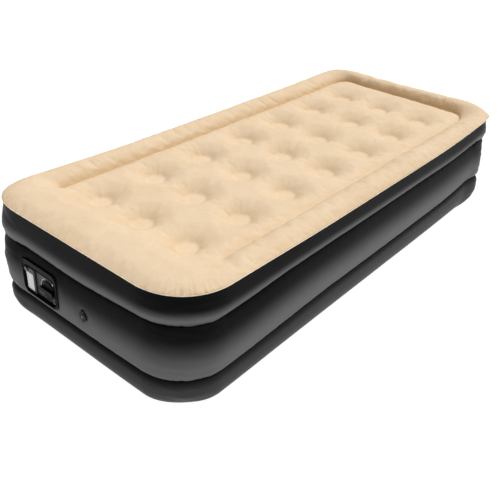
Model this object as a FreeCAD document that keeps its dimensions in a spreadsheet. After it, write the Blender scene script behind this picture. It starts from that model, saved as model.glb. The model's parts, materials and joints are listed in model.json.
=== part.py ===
import FreeCAD, Part
import math
import os
import re
import Sketcher

# A raised single air bed with a built-in electric pump.
# Frame: +X along the bed, pump at the -X end, +Z up, origin on the floor under the middle.

SIZES = {
    # the inflated bed
    "bed_length": 2000,
    "bed_width": 900,
    "bed_height": 476,
    "corner_radius": 185,
    "skin": 1.5,
    "seam_height": 440,
    "upper_groove": 315,
    "lower_groove": 122,
    "upper_turn": 30,
    "band_inset": 8,
    "band_turn": 18,
    "foot_turn": 60,
    "flange_depth": 48,
    "bottom_lap": 78,
    # the sleeping surface
    "crest_turn": 35,
    "rim_width": 100,
    "field_height": 450,
    "dimple_floor": 402,
    "dimple_floor_radius": 50,
    "dimple_mouth_radius": 80,
    "dimple_columns": 7,
    "dimple_rows": 3,
    "dimple_pitch_along": 237,
    "dimple_pitch_across": 196,
    "first_dimple": -655,
    # the inner ties
    "vent_radius": 10,
    "deck_vent_radius": 14,
    "tie_length": 1300,
    "tie_spread": 100,
    # the pump panel, measured from the bed's middle line and the floor
    "pump_side": 193,
    "pump_level": 216,
    "pump_width": 180,
    "pump_height": 134,
    "panel_front": -998,
    "panel_back": -993.2,
    "panel_top_round": 28,
    "panel_foot_round": 9,
    "rim": 7,
    "face": -986,
    "face_thickness": 2.5,
    "screw_offset": 59,
    "screw_rise": 20,
    "screw_drop": 53,
    "wall": 2,
    "housing_depth": 128,
    # the selector, motor and impeller share one axis
    "axis_side": 160,
    "axis_level": 203,
    "knob_radius": 33,
    "knob_top": -999.6,
    "shaft_radius": 4,
    "drum_radius": 30,
    "motor_radius": 27,
    "rotor_shaft_radius": 2.5,
    "impeller_radius": 38,
    "volute_radius": 43,
    "blades": 9,
    # the cord compartment and its door
    "tray_right": 228,
    "tray_left": 274.5,
    "tray_low": 158,
    "tray_high": 249,
    "tray_depth": 64,
    "hinge_side": 226.5,
    "hinge_front": -989.5,
    "hinge_radius": 1.4,
    "knuckle_radius": 2.8,
    "door_low": 158.5,
    "door_high": 248.5,
    "door_free_edge": 273.5,
    "door_front": -991,
    "door_thickness": 2.5,
    # the outlet valve on top of the pump housing
    "outlet_along": -884,
    "outlet_side": 246,
    "outlet_radius": 18,
    # the manual valve
    "valve_side": -21,
    "valve_level": 202,
    "valve_flange_radius": 18,
    "valve_bore": 9.5,
    "valve_neck": 22,
    "cap_hinge_level": 222,
    "cap_hinge_front": -995.2,
}

doc = FreeCAD.newDocument("AirBed")
sheet = doc.addObject("Spreadsheet::Sheet", "Sizes")
for row, (name, value) in enumerate(SIZES.items(), 1):
    sheet.set("A%d" % row, name.replace("_", " "))
    sheet.set("B%d" % row, str(value))
    sheet.setAlias("B%d" % row, name)
doc.recompute()

SUBPARTS = []


def linked(formula):
    """Prefix every driving dimension in a formula with the spreadsheet's name."""
    text = str(formula)
    return re.sub(r"[a-z_]+", lambda m: "Sizes." + m.group(0) if m.group(0) in SIZES else m.group(0), text)


def value_of(formula):
    """The number that a formula gives with the present sizes."""
    result = sheet.evalExpression(linked(formula))
    return float(getattr(result, "Value", result))


def bind(item, **formulas):
    """Tie properties of a document object to formulas of the spreadsheet."""
    for name, formula in formulas.items():
        item.setExpression(name, linked(formula))
    return item


def move(item, x=0, y=0, z=0, turn=None):
    """Place an object at formulas x, y, z, turned by a fixed rotation."""
    if turn is not None:
        item.Placement = FreeCAD.Placement(FreeCAD.Vector(0, 0, 0), turn)
    item.setExpression("Placement.Base.x", linked(x))
    item.setExpression("Placement.Base.y", linked(y))
    item.setExpression("Placement.Base.z", linked(z))
    return item


def subpart(label, item):
    """Give a finished sub-part its own label and list it for export."""
    item.Label = label
    SUBPARTS.append(item)
    return item


# ---------------------------------------------------------------- primitives and booleans

ALONG = {
    "x": FreeCAD.Rotation(FreeCAD.Vector(0, 1, 0), 90),
    "y": FreeCAD.Rotation(FreeCAD.Vector(1, 0, 0), -90),
    "z": FreeCAD.Rotation(),
}


def block(name, x, y, z):
    """A box between pairs of formulas: x = (low, high) and so on."""
    item = doc.addObject("Part::Box", name)
    bind(item, Length="(%s) - (%s)" % (x[1], x[0]))
    bind(item, Width="(%s) - (%s)" % (y[1], y[0]))
    bind(item, Height="(%s) - (%s)" % (z[1], z[0]))
    return move(item, x[0], y[0], z[0])


def rod(name, axis, start, length, radius):
    """A cylinder that starts at the point of three formulas and runs along +axis."""
    item = doc.addObject("Part::Cylinder", name)
    bind(item, Radius=radius, Height=length)
    return move(item, *start, turn=ALONG[axis])


def taper(name, axis, start, length, near_radius, far_radius):
    item = doc.addObject("Part::Cone", name)
    bind(item, Radius1=near_radius, Radius2=far_radius, Height=length)
    return move(item, *start, turn=ALONG[axis])


def cut(name, base, *tools):
    """The base with every tool taken away."""
    item = doc.addObject("Part::Cut", name)
    item.Base = base
    item.Tool = tools[0] if len(tools) == 1 else join(name + "_tools", *tools)
    return item


def join(name, *pieces):
    item = doc.addObject("Part::MultiFuse", name)
    item.Shapes = list(pieces)
    return item


def tube(name, axis, start, length, outer, inner):
    return cut(name,
               rod(name + "_outside", axis, start, length, outer),
               rod(name + "_inside", axis, start, length, inner))


def softened(name, base, radius, wanted):
    """Round the edges of base that the test wanted(edge) picks."""
    doc.recompute()
    size = value_of(radius)
    item = doc.addObject("Part::Fillet", name)
    item.Base = base
    edges = [i for i, edge in enumerate(base.Shape.Edges, 1) if wanted(edge)]
    item.Edges = [(i, size, size) for i in edges]
    return item


# ---------------------------------------------------------------- sketches and bodies

def plane_of(body, role):
    return next(f for f in body.Origin.OriginFeatures if f.Role == role)


def body_of(name):
    return doc.addObject("PartDesign::Body", name)


def sketch_on(body, name, role, offset=None):
    """A sketch on one of the body's own origin planes, moved along its normal by a formula."""
    sketch = body.newObject("Sketcher::SketchObject", name)
    sketch.AttachmentSupport = [(plane_of(body, role), "")]
    sketch.MapMode = "FlatFace"
    if offset is not None:
        sketch.setExpression("AttachmentOffset.Base.z", linked(offset))
    return sketch


def fix(sketch, kind, geometry, point, formula):
    """Hold one point at a distance from the sketch's origin, along one axis."""
    number = sketch.addConstraint(Sketcher.Constraint(kind, -1, 1, geometry, point, value_of(formula)))
    sketch.setExpression("Constraints[%d]" % number, linked(formula))


def square_outline(sketch, corners):
    """Draw a closed outline of level and upright lines.

    Each corner is (x formula, y formula, radius formula or 0); lines alternate in direction.
    """
    count = len(corners)
    points = [FreeCAD.Vector(value_of(x), value_of(y), 0) for x, y, _ in corners]
    radii = [value_of(r) for _, _, r in corners]
    steps = [(points[(i + 1) % count] - points[i]).normalize() for i in range(count)]
    lines = []
    for i in range(count):
        start = points[i] + steps[i] * radii[i]
        end = points[(i + 1) % count] - steps[i] * radii[(i + 1) % count]
        lines.append(sketch.addGeometry(Part.LineSegment(start, end), False))
    for i, line in enumerate(lines):
        level = abs(steps[i].x) > 0.5
        sketch.addConstraint(Sketcher.Constraint("Horizontal" if level else "Vertical", line))
        fix(sketch, "DistanceY" if level else "DistanceX", line, 1, corners[i][1 if level else 0])
    for i in range(count):
        before = lines[i - 1]
        after = lines[i]
        if radii[i] == 0:
            sketch.addConstraint(Sketcher.Constraint("Coincident", before, 2, after, 1))
            continue
        centre = points[i] + (steps[i] - steps[i - 1]) * radii[i]
        left = steps[i - 1].x * steps[i].y - steps[i - 1].y * steps[i].x > 0
        ends = [points[i] - steps[i - 1] * radii[i], points[i] + steps[i] * radii[i]]
        if not left:
            ends.reverse()
        angles = [math.atan2(p.y - centre.y, p.x - centre.x) for p in ends]
        circle = Part.Circle(centre, FreeCAD.Vector(0, 0, 1), radii[i])
        arc = sketch.addGeometry(Part.ArcOfCircle(circle, angles[0], angles[1]), False)
        first, last = (1, 2) if left else (2, 1)
        sketch.addConstraint(Sketcher.Constraint("Tangent", before, 2, arc, first))
        sketch.addConstraint(Sketcher.Constraint("Tangent", arc, last, after, 1))
        number = sketch.addConstraint(Sketcher.Constraint("Radius", arc, radii[i]))
        sketch.setExpression("Constraints[%d]" % number, linked(corners[i][2]))


def polygon(sketch, corners):
    """Draw a closed outline of straight lines through corners of (x formula, y formula)."""
    points = [FreeCAD.Vector(value_of(x), value_of(y), 0) for x, y in corners]
    lines = []
    for start, end in zip(points, points[1:] + points[:1]):
        lines.append(sketch.addGeometry(Part.LineSegment(start, end), False))
    for i, line in enumerate(lines):
        sketch.addConstraint(Sketcher.Constraint("Coincident", lines[i - 1], 2, line, 1))
    for line, (x, y) in zip(lines, corners):
        fix(sketch, "DistanceX", line, 1, x)
        fix(sketch, "DistanceY", line, 1, y)


def bed_outline(sketch, inset):
    """The bed's rounded rectangle in plan, a formula inset from its widest outline."""
    x = "bed_length / 2 - (%s)" % inset
    y = "bed_width / 2 - (%s)" % inset
    radius = "corner_radius - (%s)" % inset
    start = "-(%s)" % x
    square_outline(sketch, [
        (x, "-(%s)" % y, radius), (x, y, radius), (start, y, radius), (start, "-(%s)" % y, radius)])


def walk_round(sketch):
    """The path round the bed's outline, starting in the middle of the foot end."""
    half = "bed_length / 2"
    side = "bed_width / 2"
    r = "corner_radius"
    x, y, radius = value_of(half), value_of(side), value_of(r)
    straight = [
        ((x, 0), (x, y - radius)), ((x - radius, y), (radius - x, y)), ((-x, y - radius), (-x, radius - y)),
        ((radius - x, -y), (x - radius, -y)), ((x, radius - y), (x, 0))]
    centres = [(x - radius, y - radius, 0), (radius - x, y - radius, 90),
               (radius - x, radius - y, 180), (x - radius, radius - y, 270)]
    made = []
    for number, (start, end) in enumerate(straight):
        made.append(sketch.addGeometry(
            Part.LineSegment(FreeCAD.Vector(*start, 0), FreeCAD.Vector(*end, 0)), False))
        if number < 4:
            cx, cy, angle = centres[number]
            circle = Part.Circle(FreeCAD.Vector(cx, cy, 0), FreeCAD.Vector(0, 0, 1), radius)
            turn = [math.radians(angle), math.radians(angle + 90)]
            made.append(sketch.addGeometry(Part.ArcOfCircle(circle, *turn), False))
    for number, line in enumerate(made):
        if number % 2 == 1:
            sketch.addConstraint(Sketcher.Constraint("Tangent", made[number - 1], 2, line, 1))
            sketch.addConstraint(Sketcher.Constraint("Tangent", line, 2, made[number + 1], 1))
            count = sketch.addConstraint(Sketcher.Constraint("Radius", line, radius))
            sketch.setExpression("Constraints[%d]" % count, linked(r))
    sketch.addConstraint(Sketcher.Constraint("Coincident", made[8], 2, made[0], 1))
    for number, kind, formula in ((0, "DistanceX", half), (2, "DistanceY", side),
                                  (4, "DistanceX", "-(%s)" % half), (6, "DistanceY", "-(%s)" % side)):
        sketch.addConstraint(Sketcher.Constraint("Vertical" if kind == "DistanceX" else "Horizontal",
                                                 made[number]))
        fix(sketch, kind, made[number], 1, formula)
    sketch.addConstraint(Sketcher.Constraint("Vertical", made[8]))
    fix(sketch, "DistanceY", made[0], 1, "0")


def swept_band(name, corners):
    """A thin wall of the given cross-section, swept round the bed's outline."""
    body = body_of(name)
    path = sketch_on(body, name + "_path", "XY_Plane")
    walk_round(path)
    section = sketch_on(body, name + "_section", "XZ_Plane")
    square_outline(section, corners)
    doc.recompute()
    band = body.newObject("PartDesign::AdditivePipe", name + "_wall")
    band.Profile = section
    band.Spine = (path, ["Edge%d" % (i + 1) for i in range(9)])
    doc.recompute()
    return body


def pad(body, sketch, name, length, upward=True):
    feature = body.newObject("PartDesign::Pad", name)
    feature.Profile = sketch
    feature.Reversed = not upward
    bind(feature, Length=length)
    doc.recompute()
    return feature


def pocket(body, sketch, name, length, against_normal=True):
    """Cut a pocket and make sure that it removed something."""
    before = body.Shape.Volume
    feature = body.newObject("PartDesign::Pocket", name)
    feature.Profile = sketch
    feature.Reversed = not against_normal
    bind(feature, Length=length)
    doc.recompute()
    if body.Shape.Volume > before - 1:
        raise ValueError("%s cuts nothing" % name)
    return feature


def grid(body, name, original, columns, column_pitch, rows, row_pitch):
    """Repeat a feature along the bed and across it."""
    pattern = body.newObject("PartDesign::LinearPattern", name)
    pattern.Originals = [original]
    pattern.Direction = (plane_of(body, "X_Axis"), [""])
    pattern.Direction2 = (plane_of(body, "Y_Axis"), [""])
    pattern.Mode = "Extent"
    pattern.Mode2 = "Extent"
    bind(pattern, Occurrences=columns, Length="(%s - 1) * %s" % (columns, column_pitch))
    bind(pattern, Occurrences2=rows, Length2="(%s - 1) * %s" % (rows, row_pitch))
    body.Tip = pattern
    doc.recompute()
    return pattern


# ---------------------------------------------------------------- the skin of the bed

END = "bed_length / 2"


def make_top_sheet():
    """The flocked top: a raised rim all round and a flat field held down at each dimple."""
    z = "field_height - skin"
    body = swept_band("top_sheet", [
        (END, "seam_height", 0),
        (END, "bed_height", "crest_turn"),
        (END + " - rim_width", "bed_height", 12),
        (END + " - rim_width", "field_height", 12),
        (END + " - rim_width - 20", "field_height", 0),
        (END + " - rim_width - 20", z, 0),
        (END + " - rim_width + skin", z, "12 + skin"),
        (END + " - rim_width + skin", "bed_height - skin", "12 - skin"),
        (END + " - skin", "bed_height - skin", "crest_turn - skin"),
        (END + " - skin", "seam_height", 0)])
    field = sketch_on(body, "field_outline", "XY_Plane", z)
    bed_outline(field, "rim_width + 16")
    pad(body, field, "field", "skin")
    hole = sketch_on(body, "dimple_hole", "XY_Plane", "field_height + 5")
    circle = Part.Circle(FreeCAD.Vector(value_of("first_dimple"), -value_of("dimple_pitch_across"), 0),
                         FreeCAD.Vector(0, 0, 1), value_of("dimple_mouth_radius + 1"))
    hole.addGeometry(circle, False)
    fix(hole, "DistanceX", 0, 3, "first_dimple")
    fix(hole, "DistanceY", 0, 3, "-dimple_pitch_across")
    number = hole.addConstraint(Sketcher.Constraint("Radius", 0, value_of("dimple_mouth_radius + 1")))
    hole.setExpression("Constraints[%d]" % number, linked("dimple_mouth_radius + 1"))
    opening = pocket(body, hole, "dimple_opening", 20)
    grid(body, "dimple_openings", opening, "dimple_columns", "dimple_pitch_along",
         "dimple_rows", "dimple_pitch_across")
    cup = body.newObject("Sketcher::SketchObject", "dimple_section")
    cup.AttachmentSupport = [(plane_of(body, "XZ_Plane"), "")]
    cup.MapMode = "FlatFace"
    cup.setExpression("AttachmentOffset.Base.z", linked("dimple_pitch_across"))
    cup.setExpression("AttachmentOffset.Base.x", linked("first_dimple"))
    polygon(cup, [
        ("0", "dimple_floor - skin"), ("dimple_floor_radius + 1", "dimple_floor - skin"),
        ("dimple_mouth_radius + 1", "field_height - skin"), ("dimple_mouth_radius + 5", "field_height - skin"),
        ("dimple_mouth_radius + 5", "field_height"), ("dimple_mouth_radius", "field_height"),
        ("dimple_floor_radius", "dimple_floor"), ("0", "dimple_floor")])
    dimple = body.newObject("PartDesign::Revolution", "dimple")
    dimple.Profile = cup
    dimple.ReferenceAxis = (cup, ["V_Axis"])
    dimple.Angle = 360
    doc.recompute()
    grid(body, "dimples", dimple, "dimple_columns", "dimple_pitch_along",
         "dimple_rows", "dimple_pitch_across")
    return subpart("top_sheet", body)


def make_upper_band():
    low = "upper_groove + skin / 2"
    return subpart("upper_band", swept_band("upper_band", [
        (END, "seam_height", 0),
        (END, low, "upper_turn"),
        (END + " - flange_depth", low, 0),
        (END + " - flange_depth", low + " + skin", 0),
        (END + " - skin", low + " + skin", "upper_turn - skin"),
        (END + " - skin", "seam_height", 0)]))


def make_middle_band():
    """The wall that carries the pump and the manual valve, with an opening for each."""
    side = END + " - band_inset"
    inner = side + " - skin"
    top = "upper_groove - skin / 2"
    low = "lower_groove + skin / 2"
    body = swept_band("middle_band", [
        (END + " - flange_depth", low, 0),
        (side, low, "band_turn"),
        (side, top, "band_turn"),
        (END + " - flange_depth", top, 0),
        (END + " - flange_depth", top + " - skin", 0),
        (inner, top + " - skin", "band_turn - skin"),
        (inner, low + " + skin", "band_turn - skin"),
        (END + " - flange_depth", low + " + skin", 0)])
    window = sketch_on(body, "pump_window", "YZ_Plane", "-bed_length / 2 - 5")
    panel_outline(window, "rim - wall - 2")
    pocket(body, window, "pump_opening", 30, against_normal=False)
    hole = sketch_on(body, "valve_hole", "YZ_Plane", "-bed_length / 2 - 5")
    hole.addGeometry(Part.Circle(FreeCAD.Vector(value_of("valve_side"), value_of("valve_level"), 0),
                                 FreeCAD.Vector(0, 0, 1), value_of("valve_bore + 2.5")), False)
    fix(hole, "DistanceX", 0, 3, "valve_side")
    fix(hole, "DistanceY", 0, 3, "valve_level")
    number = hole.addConstraint(Sketcher.Constraint("Radius", 0, value_of("valve_bore + 2.5")))
    hole.setExpression("Constraints[%d]" % number, linked("valve_bore + 2.5"))
    pocket(body, hole, "valve_opening", 30, against_normal=False)
    return subpart("middle_band", body)


def make_lower_band():
    side = END + " - band_inset"
    inner = side + " - skin"
    top = "lower_groove - skin / 2"
    return subpart("lower_band", swept_band("lower_band", [
        (END + " - bottom_lap", "0", 0),
        (side, "0", "foot_turn"),
        (side, top, "upper_turn - 8"),
        (END + " - flange_depth", top, 0),
        (END + " - flange_depth", top + " - skin", 0),
        (inner, top + " - skin", "upper_turn - 8 - skin"),
        (inner, "skin", "foot_turn - skin"),
        (END + " - bottom_lap", "skin", 0)]))


def make_flat_sheet(name, inset, level):
    body = body_of(name)
    outline = sketch_on(body, name + "_outline", "XY_Plane", level)
    bed_outline(outline, inset)
    pad(body, outline, name + "_sheet", "skin")
    return body


def make_deck(name, level):
    """A flat inner sheet that pulls the wall in at a groove, with holes that let the air through."""
    body = make_flat_sheet(name, "flange_depth - 18", level + " - skin / 2")
    vent = sketch_on(body, name + "_vent", "XY_Plane", level + " + 5")
    spot = ("first_dimple + dimple_pitch_along / 2", "-dimple_pitch_across * 3 / 2")
    vent.addGeometry(Part.Circle(FreeCAD.Vector(value_of(spot[0]), value_of(spot[1]), 0),
                                 FreeCAD.Vector(0, 0, 1), value_of("deck_vent_radius")), False)
    fix(vent, "DistanceX", 0, 3, spot[0])
    fix(vent, "DistanceY", 0, 3, spot[1])
    number = vent.addConstraint(Sketcher.Constraint("Radius", 0, value_of("deck_vent_radius")))
    vent.setExpression("Constraints[%d]" % number, linked("deck_vent_radius"))
    hole = pocket(body, vent, name + "_hole", 10)
    grid(body, name + "_holes", hole, "dimple_columns - 1", "dimple_pitch_along",
         "dimple_rows + 1", "dimple_pitch_across")
    return subpart(name, body)


def make_coil_beams():
    """One upright tube under each dimple, tied between the top sheet and the upper deck."""
    low = "upper_groove + skin / 2"
    length = "dimple_floor - skin - (%s)" % low
    for column in range(int(value_of("dimple_columns"))):
        for line in range(int(value_of("dimple_rows"))):
            name = "coil_beam_%d_%d" % (column + 1, line + 1)
            x = "first_dimple + %d * dimple_pitch_along" % column
            y = "%d * dimple_pitch_across" % (line - 1)
            middle = "(dimple_floor + upper_groove) / 2"
            wall = tube(name + "_wall", "z", (x, y, low), length,
                        "dimple_floor_radius", "dimple_floor_radius - skin")
            reach = "2 * dimple_floor_radius + 20"
            along = rod(name + "_vent_along", "x", (x + " - dimple_floor_radius - 10", y, middle), reach,
                        "vent_radius")
            across = rod(name + "_vent_across", "y", (x, y + " - dimple_floor_radius - 10", middle), reach,
                         "vent_radius")
            subpart(name, cut(name, wall, along, across))


def make_ties():
    """Upright strips between the decks and the bottom that keep the sides straight."""
    levels = {
        "middle_tie": ("lower_groove + skin / 2", "upper_groove - skin / 2"),
        "lower_tie": ("skin", "lower_groove - skin / 2"),
    }
    for name, height in levels.items():
        for number, sign in ((1, "-"), (2, "")):
            y = "%stie_spread" % sign
            label = "%s_%d" % (name, number)
            strip = block(label + "_strip", ("-tie_length / 2", "tie_length / 2"),
                          (y + " - skin / 2", y + " + skin / 2"), height)
            middle = "(%s + %s) / 2" % height
            vents = []
            for step in (-2, -1, 0, 1, 2):
                vents.append(rod("%s_vent_%d" % (label, step + 3), "y",
                                 ("%d * dimple_pitch_along" % step, y + " - 10", middle), 20, 22))
            subpart(label, cut(label, strip, *vents))


# ---------------------------------------------------------------- the pump's panel and housing

def panel_outline(sketch, inset, top="panel_top_round", foot="panel_foot_round"):
    """The pump panel's outline seen along +X, a formula inset from the bezel's edge."""
    half = "(pump_width / 2 - (%s))" % inset
    rise = "(pump_height / 2 - (%s))" % inset
    left = "pump_side - " + half
    right = "pump_side + " + half
    low = "pump_level - " + rise
    high = "pump_level + " + rise
    head = "%s - (%s)" % (top, inset)
    toe = "%s - (%s) * 0.6" % (foot, inset)
    square_outline(sketch, [(left, low, toe), (right, low, toe), (right, high, head), (left, high, head)])


def panel_ring(name, steps):
    """A frame built of layers: each is (x of its front, depth, outer inset, inner inset)."""
    body = body_of(name)
    for number, (front, depth, outer, inner) in enumerate(steps, 1):
        layer = sketch_on(body, "%s_layer_%d" % (name, number), "YZ_Plane", front)
        panel_outline(layer, outer)
        panel_outline(layer, inner)
        pad(body, layer, "%s_pad_%d" % (name, number), depth)
    return body


def make_pump_frame():
    """The welded mount in the band's window, and the moulded bezel that covers it."""
    neck = "rim - wall - 2"
    subpart("pump_mount_ring", panel_ring("pump_mount_ring", [
        ("panel_back", 1.2, "1", neck + " + wall"),
        ("panel_back", 16, neck, neck + " + wall")]))
    bezel = panel_ring("pump_bezel", [
        ("panel_back - 2", 2, "0", "rim"),
        ("panel_front", "panel_back - panel_front - 2", "1.8", "rim"),
        ("panel_back - 0.1", "face - panel_back + 2", "rim - wall + 0.3", "rim")])
    subpart("pump_bezel", bezel)


def inside(inset):
    """Box limits of the panel's opening, a formula inset from the bezel's outer edge."""
    half = "(pump_width / 2 - (%s))" % inset
    rise = "(pump_height / 2 - (%s))" % inset
    return ("pump_side - " + half, "pump_side + " + half), ("pump_level - " + rise, "pump_level + " + rise)


def make_housing():
    """The tub that hangs inside the bed behind the panel, closed at the back."""
    front = "face + 2"
    body = body_of("housing_body")
    base = sketch_on(body, "housing_outline", "YZ_Plane", front)
    panel_outline(base, "rim - wall + 0.3")
    pad(body, base, "housing_block", "housing_depth - 2")
    hollow = sketch_on(body, "housing_hollow", "YZ_Plane", front)
    panel_outline(hollow, "rim + 0.3")
    pocket(body, hollow, "housing_inside", "housing_depth - 4", against_normal=False)
    hole = rod("outlet_hole", "z", ("outlet_along", "outlet_side", "pump_level + pump_height / 2 - 20"),
               40, "outlet_radius + 4")
    subpart("pump_housing", cut("pump_housing_cut", body, hole))


def make_face_plate():
    """The recessed face: a shallow seat for the knob and an opening into the cord compartment."""
    body = body_of("face_plate_body")
    outline = sketch_on(body, "face_outline", "YZ_Plane", "face")
    panel_outline(outline, "rim + 0.5")
    pad(body, outline, "face_pad", "face_thickness")
    opening = block("face_door_opening", ("face - 5", "face + 10"), ("tray_right + 1.6", "tray_left - 1.6"),
                    ("tray_low + 1.6", "tray_high - 1.6"))
    bore = rod("face_bore", "x", ("face - 5", "axis_side", "axis_level"), 20, "shaft_radius + 0.3")
    levels = {"lower": "pump_level - screw_drop", "upper": "pump_level + screw_rise"}
    holes = [rod("face_screw_hole_" + name, "x", ("face - 5", "pump_side - screw_offset", level), 20, 1.8)
             for name, level in levels.items()]
    seat = tube("knob_seat", "x", ("face - 1.2", "axis_side", "axis_level"), 1.2, "knob_radius + 3.4",
                "knob_radius + 1.4")
    lugs = []
    for number, low in ((1, "door_low + 0.5"), (2, "door_high - 4.5")):
        barrel = rod("lug_barrel_%d" % number, "z", ("hinge_front", "hinge_side", low), 4, "knuckle_radius")
        foot = block("lug_foot_%d" % number, ("hinge_front", "face"),
                     ("hinge_side - knuckle_radius", "hinge_side + knuckle_radius"), (low, low + " + 4"))
        lugs += [barrel, foot]
    plate = join("face_plate_join", body, seat, *lugs)
    pin_hole = rod("lug_bore", "z", ("hinge_front", "hinge_side", "door_low - 2"),
                   "door_high - door_low + 4", "hinge_radius")
    subpart("face_plate", cut("face_plate_cut", plate, opening, bore, pin_hole, *holes))
    for name, level in levels.items():
        make_screw(name, "pump_side - screw_offset", level)


def make_screw(name, side, level):
    """A cross-head screw through the face plate."""
    head = rod("screw_head_" + name, "x", ("face - 1.8", side, level), 1.8, 3.4)
    shank = rod("screw_shank_" + name, "x", ("face", side, level), 10, 1.75)
    level_slot = block("screw_level_slot_" + name, ("face - 2", "face - 0.9"),
                       (side + " - 2.2", side + " + 2.2"), (level + " - 0.4", level + " + 0.4"))
    upright_slot = block("screw_upright_slot_" + name, ("face - 2", "face - 0.9"),
                         (side + " - 0.4", side + " + 0.4"), (level + " - 2.2", level + " + 2.2"))
    whole = join("face_screw_join_" + name, head, shank)
    subpart("face_screw_" + name, cut("face_screw_cut_" + name, whole, level_slot, upright_slot))


def make_cord_compartment():
    """A box behind the door with the gland where the supply lead enters the pump."""
    back = "face + face_thickness + tray_depth"
    outer = block("tray_outside", ("face + face_thickness", back), ("tray_right", "tray_left"),
                  ("tray_low", "tray_high"))
    hollow = block("tray_inside", ("face", back + " - 1.6"), ("tray_right + 1.6", "tray_left - 1.6"),
                   ("tray_low + 1.6", "tray_high - 1.6"))
    gland_at = ("tray_right + 23", "tray_low + 18")
    hole = rod("gland_hole", "x", (back + " - 5", *gland_at), 10, 5.5)
    subpart("cord_tray", cut("cord_tray_cut", outer, hollow, hole))
    flange = rod("gland_flange", "x", (back + " - 4.1", *gland_at), 2.5, 8)
    neck = rod("gland_neck", "x", (back + " - 1.6", *gland_at), 9, 5.4)
    nut = rod("gland_nut", "x", (back, *gland_at), 3, 7.5)
    bore = rod("gland_bore", "x", (back + " - 8", *gland_at), 20, 3.2)
    subpart("cord_gland", cut("cord_gland_cut", join("cord_gland_join", flange, neck, nut), bore))


def make_door():
    """The lid of the cord compartment, which swings out on an upright pin at its right edge."""
    back = "door_front + door_thickness"
    leaf = block("door_leaf", ("door_front", back), ("hinge_side + 4", "door_free_edge"),
                 ("door_low", "door_high"))
    leaf = softened("door_rounded", leaf, 4, lambda edge: is_corner(edge, "door_free_edge"))
    web = block("door_web", ("door_front + 0.3", back), ("hinge_side", "hinge_side + 5"),
                ("door_low + 5.3", "door_high - 5.3"))
    knuckle = rod("door_knuckle", "z", ("hinge_front", "hinge_side", "door_low + 5.3"),
                  "door_high - door_low - 10.6", "knuckle_radius")
    bore = rod("door_bore", "z", ("hinge_front", "hinge_side", "door_low - 2"),
               "door_high - door_low + 4", "hinge_radius + 0.1")
    finger = block("finger_slot", ("door_front - 2", back + " + 2"), ("door_free_edge - 4", "door_free_edge + 2"),
                   ("door_low + 36", "door_low + 60"))
    tab = rod("door_tab", "x", ("door_front - 2.2", "door_free_edge - 9", "door_high - 9"), 2.3, 7)
    stiffener = cut("door_frame",
                    block("door_frame_outside", (back + " - 0.1", back + " + 1.2"),
                          ("tray_right + 5", "tray_left - 7.5"), ("tray_low + 3", "tray_high - 3")),
                    block("door_frame_inside", (back + " - 1", back + " + 2"),
                          ("tray_right + 6.6", "tray_left - 9.1"), ("tray_low + 4.6", "tray_high - 4.6")))
    door = join("cord_door_join", leaf, web, knuckle, tab, stiffener)
    subpart("cord_door", cut("cord_door_cut", door, bore, finger))
    subpart("door_hinge_pin", rod("door_hinge_pin", "z", ("hinge_front", "hinge_side", "door_low + 0.5"),
                                  "door_high - door_low - 1", "hinge_radius"))
    subpart("door_label", block("door_label", ("door_front - 0.3", "door_front"),
                                ("hinge_side + 7", "door_free_edge - 5"), ("door_low + 6", "door_low + 70")))


def is_corner(edge, side):
    """An edge that runs along X at the given side formula."""
    a, b = (v.Point for v in edge.Vertexes)
    along = abs(a.x - b.x) > 1e-6 and abs(a.y - b.y) < 1e-6 and abs(a.z - b.z) < 1e-6
    return along and abs(a.y - value_of(side)) < 1e-6


# ---------------------------------------------------------------- the selector, motor and impeller

def on_axis(x):
    return (x, "axis_side", "axis_level")


def make_selector():
    """The knob, its shaft and the drum that swaps the pump's inlet and outlet."""
    skirt = rod("knob_skirt", "x", on_axis("face - 4"), 3.6, "knob_radius")
    dome = taper("knob_dome", "x", on_axis("face - 5.4"), 1.4, "knob_radius - 7", "knob_radius - 1")
    grip = block("knob_grip", ("knob_top", "face - 3"), ("axis_side - 29", "axis_side + 29"),
                 ("axis_level - 7.5", "axis_level + 7.5"))
    ends = [rod("knob_end_%d" % n, "x", ("knob_top", side, "axis_level"), "face - 3 - knob_top", 7.5)
            for n, side in ((1, "axis_side - 29"), (2, "axis_side + 29"))]
    doc.recompute()
    limit = rod("knob_limit", "x", on_axis("knob_top"), 30, "knob_radius")
    bar = doc.addObject("Part::Common", "knob_bar")
    bar.Base = join("knob_bar_join", grip, *ends)
    bar.Tool = limit
    subpart("selector_knob", join("selector_knob", skirt, dome, bar))
    subpart("selector_shaft", rod("selector_shaft", "x", on_axis("face - 0.4"), 12.4, "shaft_radius"))
    front = rod("drum_front", "x", on_axis("face + 12"), 2, "drum_radius")
    wall = tube("drum_wall", "x", on_axis("face + 14"), 20, "drum_radius", "drum_radius - 2")
    ports = [block("drum_port_1", ("face + 17", "face + 31"), ("axis_side - 15", "axis_side + 15"),
                   ("axis_level + 10", "axis_level + 40")),
             block("drum_port_2", ("face + 17", "face + 31"), ("axis_side - 15", "axis_side + 15"),
                   ("axis_level - 40", "axis_level - 10"))]
    subpart("flow_drum", cut("flow_drum_cut", join("flow_drum_join", front, wall), *ports))


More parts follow.
